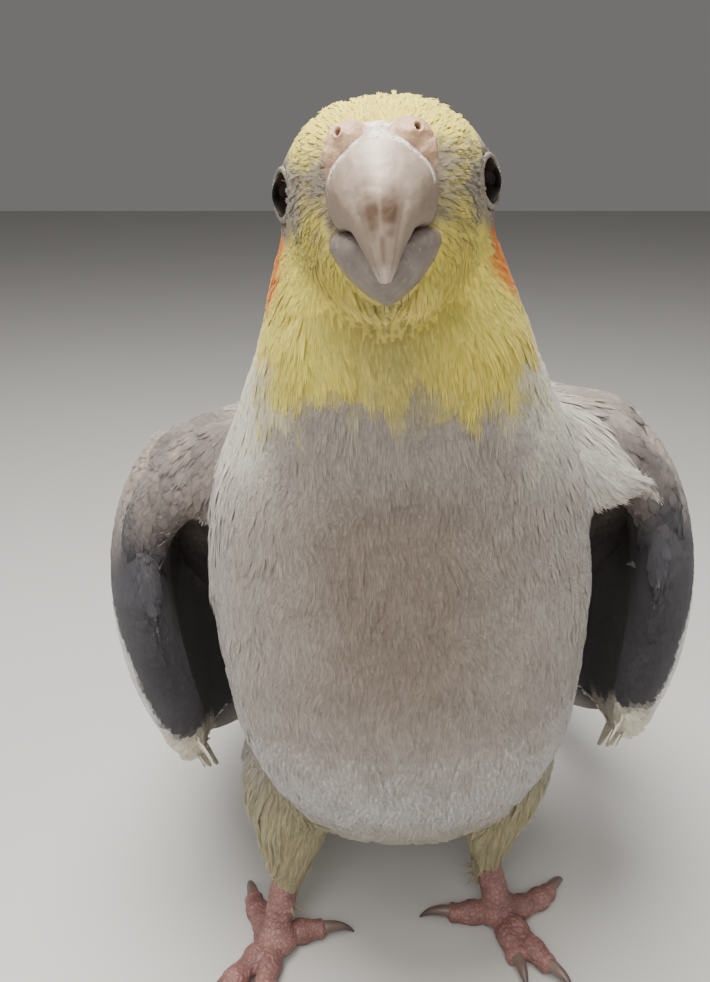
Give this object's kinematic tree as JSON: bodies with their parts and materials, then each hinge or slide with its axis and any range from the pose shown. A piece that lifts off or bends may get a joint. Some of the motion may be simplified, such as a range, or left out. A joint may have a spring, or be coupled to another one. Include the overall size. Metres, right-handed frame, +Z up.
{
  "type": "cockatiel figure",
  "caption": "Still life-size model of a cockatiel standing upright: yellow face, grey body, wings held a little off its sides, crest laid back, long folded tail.",
  "frame": {"origin": "on the floor, under the middle of the object's bounding box", "axes": "+Z up from the floor; -Y the way the bill points and +Y the way the tail points, the longest side; +X the bird's own left, the shortest side"},
  "size_m": [0.0943, 0.254, 0.1421],
  "materials": {
    "plumage": "matte body feathers, light grey-beige",
    "yellow_plumage": "matte lemon yellow feathers with an orange patch on each cheek",
    "flight_feathers": "smooth grey vanes with a white patch on the wing",
    "horn": "satin horn of bill and claws",
    "bare_skin": "pink scaly skin of feet and cere",
    "eyes": "glossy, nearly black brown"
  },
  "bodies": {
    "root": {"torso": "plumage", "neck": "yellow_plumage", "head": "yellow_plumage", "crest": "yellow_plumage", "cere": "bare_skin", "bill_upper": "horn", "bill_lower": "horn", "eye_left": "eyes", "eye_right": "eyes", "shoulder_left": "plumage", "shoulder_right": "plumage", "wing_left": "flight_feathers", "wing_right": "flight_feathers", "tail": "flight_feathers", "thigh_left": "plumage", "thigh_right": "plumage", "foot_left": "bare_skin", "foot_right": "bare_skin", "claw_left_outer_front": "horn", "claw_left_inner_front": "horn", "claw_left_outer_rear": "horn", "claw_left_inner_rear": "horn", "claw_right_outer_front": "horn", "claw_right_inner_front": "horn", "claw_right_outer_rear": "horn", "claw_right_inner_rear": "horn"}
  },
  "joints": []
}
